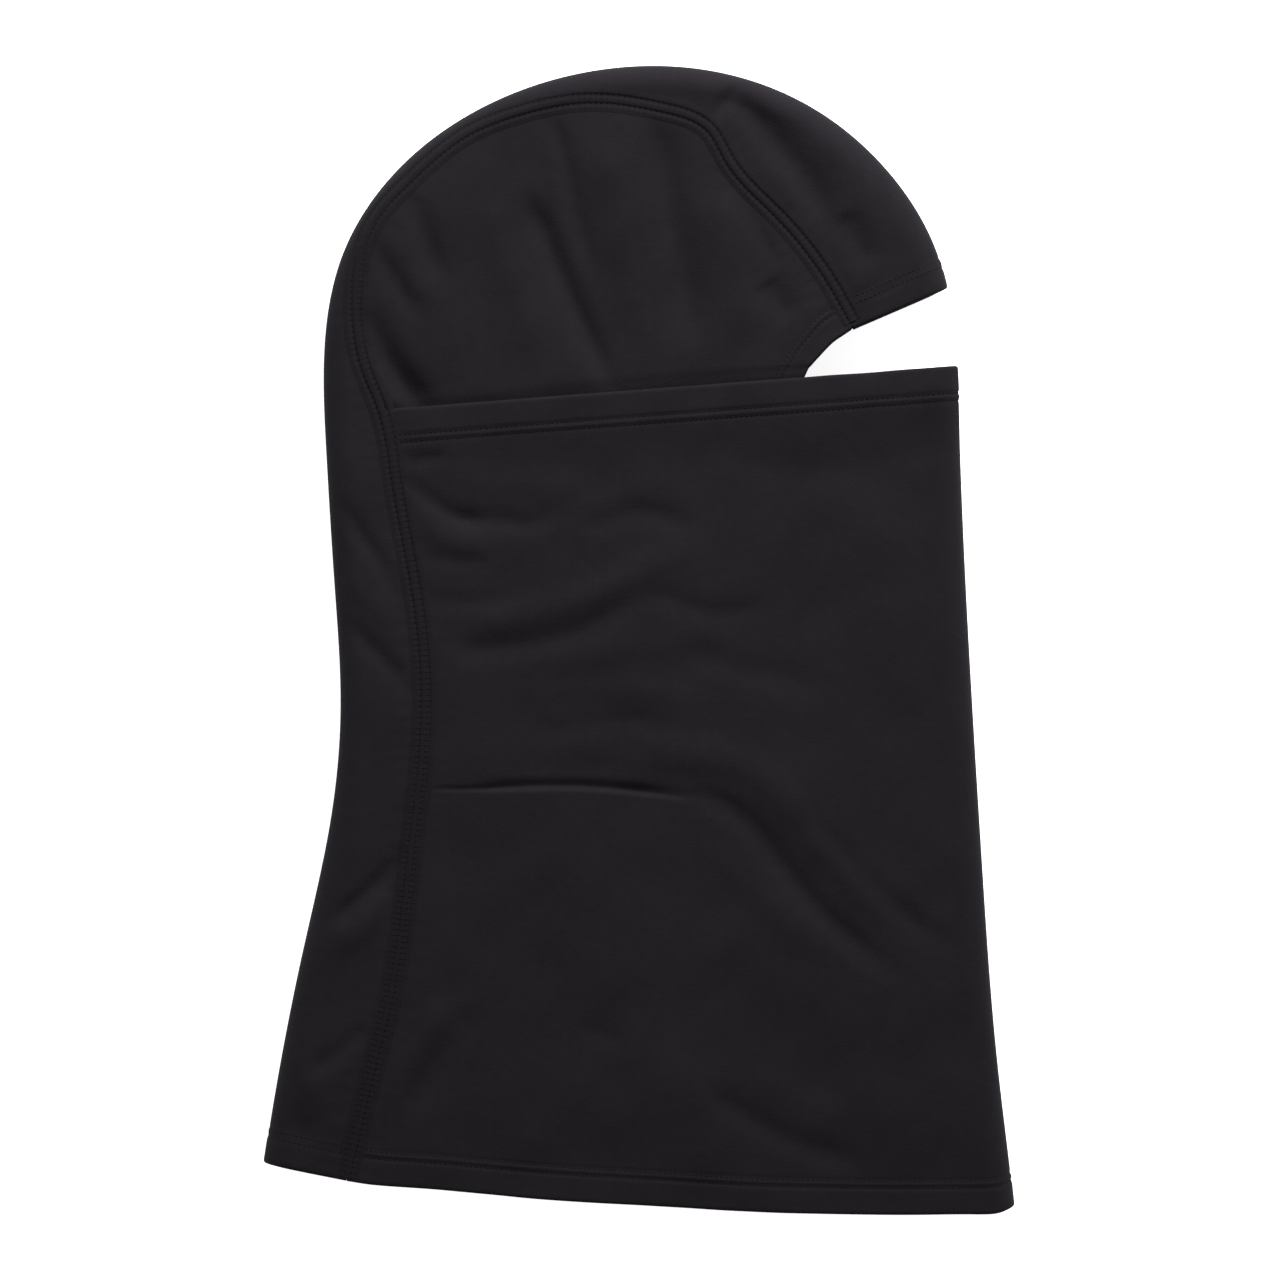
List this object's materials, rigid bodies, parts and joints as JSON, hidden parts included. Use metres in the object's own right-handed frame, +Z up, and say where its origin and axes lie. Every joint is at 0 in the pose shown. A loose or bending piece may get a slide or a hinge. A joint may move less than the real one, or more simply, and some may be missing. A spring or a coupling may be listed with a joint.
{
  "type": "balaclava",
  "caption": "Black stretch-fleece ski balaclava laid flat on its side: fitted hood with flat seams and a long neck, and a face mask whose hemmed top edge pulls down below the chin.",
  "frame": {"origin": "under the middle of the laid-flat garment's outline, on the surface that it lies on", "axes": "+X to the front of the wearer's face, +Y to the crown of the head, +Z up from the surface, which is the wearer's right"},
  "size_m": [0.281, 0.4301, 0.018],
  "materials": {
    "shell_fabric": "brushed stretch jersey, matt with a faint sheen",
    "stitch_thread": "textured polyester thread, soft satin",
    "label_tape": "woven satin tape, blank"
  },
  "bodies": {
    "hood": {"centre_panel": "shell_fabric", "mask_panel": "shell_fabric", "brow_hem": "shell_fabric", "neck_hem_front": "shell_fabric", "neck_hem_back": "shell_fabric", "right_side_panel": "shell_fabric", "left_side_panel": "shell_fabric", "right_face_hem": "shell_fabric", "left_face_hem": "shell_fabric", "right_dart_fold": "shell_fabric", "left_dart_fold": "shell_fabric", "neck_hem_stitching": "stitch_thread", "face_opening_stitching": "stitch_thread", "chin_seam_stitching": "stitch_thread", "right_seam_stitching": "stitch_thread", "left_seam_stitching": "stitch_thread", "right_dart_stitching": "stitch_thread", "left_dart_stitching": "stitch_thread", "right_inner_edge_stitching": "stitch_thread", "left_inner_edge_stitching": "stitch_thread", "care_label": "label_tape"},
    "mask_edge": {"mask_hem": "shell_fabric", "mask_hem_stitching": "stitch_thread"}
  },
  "joints": [
    {"name": "mask_pull", "type": "slide", "parent": "hood", "child": "mask_edge", "axis": [0, 1, 0], "range_m": [-0.1, 0.01], "deforming": ["mask_panel"]}
  ]
}
